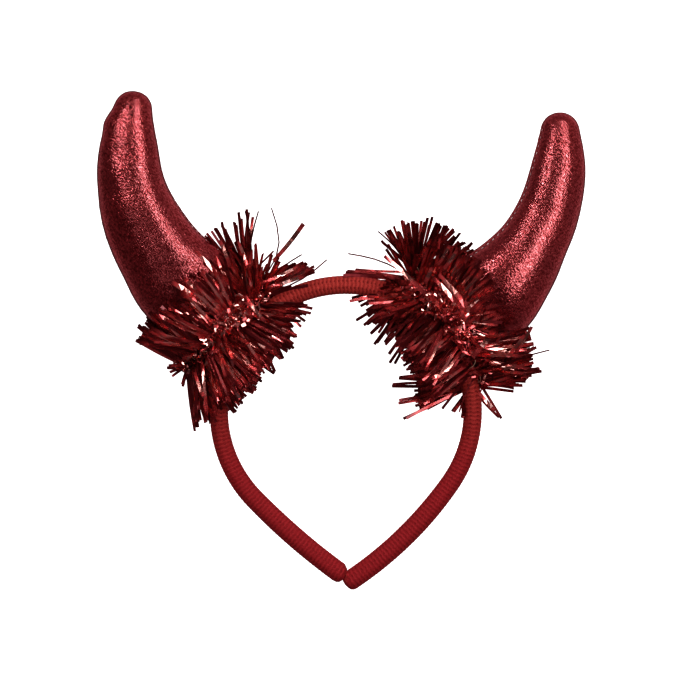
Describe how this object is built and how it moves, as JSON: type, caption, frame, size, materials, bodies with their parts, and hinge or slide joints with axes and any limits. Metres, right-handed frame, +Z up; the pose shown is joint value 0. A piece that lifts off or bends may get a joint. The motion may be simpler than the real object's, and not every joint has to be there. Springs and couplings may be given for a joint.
{
  "type": "devil horns headband",
  "caption": "Costume headband lying on its back: a springy cloth-wrapped band with two stuffed shiny red horns, a tinsel garland round the foot of each.",
  "frame": {"origin": "middle of the object's box, on the table that it lies on", "axes": "+Z up from the table, +Y from the two ends of the band towards its crown and the horns, +X to the right as seen from above"},
  "size_m": [0.2334, 0.2394, 0.061],
  "materials": {
    "headband": "matt red ribbed cloth wrapped round a springy core",
    "horn_left": "shiny red metallic cloth over soft stuffing",
    "horn_right": "shiny red metallic cloth over soft stuffing",
    "tinsel_left": "mirror-bright red metallised film, cut in narrow strips",
    "tinsel_right": "mirror-bright red metallised film, cut in narrow strips"
  },
  "bodies": {
    "root": {"headband": "headband", "horn_left": "horn_left", "horn_right": "horn_right", "tinsel_left": "tinsel_left", "tinsel_right": "tinsel_right"}
  },
  "joints": []
}
